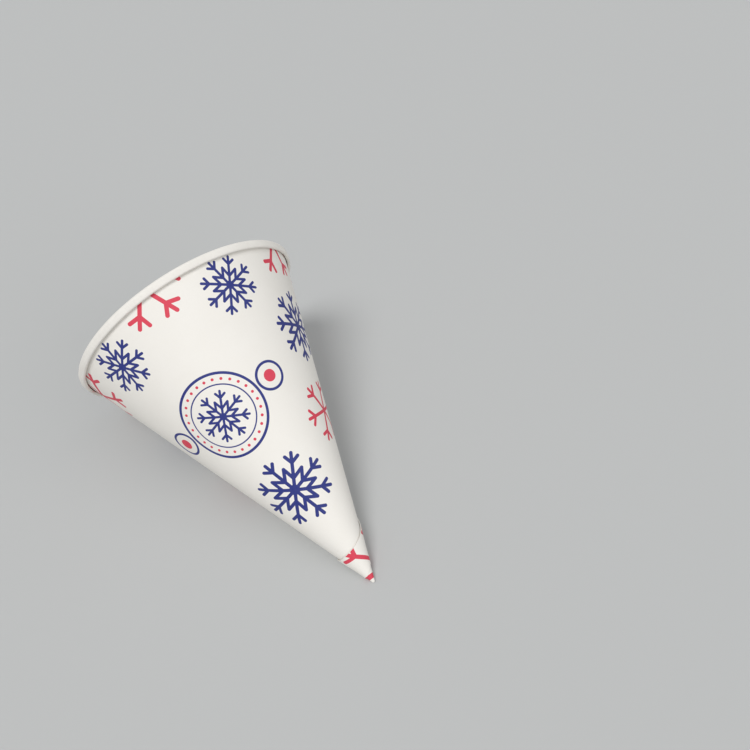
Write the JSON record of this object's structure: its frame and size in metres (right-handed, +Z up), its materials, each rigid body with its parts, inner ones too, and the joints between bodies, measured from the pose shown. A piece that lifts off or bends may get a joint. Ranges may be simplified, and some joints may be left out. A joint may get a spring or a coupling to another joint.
{
  "type": "cone paper cup",
  "caption": "Cone-shaped paper cup with a rolled rim and a glued lap that winds round its tip, printed with snowflakes, lying on its side.",
  "frame": {"origin": "on the floor, under the centre of the box of the cup as it lies on its side", "axes": "+Z up; +Y along the floor from the tip towards the mouth; the cup axis rises towards the mouth by 20.6 degrees; +X to the right as seen from behind the tip"},
  "size_m": [0.092, 0.1292, 0.086],
  "materials": {
    "printed_paper": "smooth uncoated white paper, printed outside in navy and red"
  },
  "bodies": {
    "root": {"cone_cup": "printed_paper"}
  },
  "joints": []
}
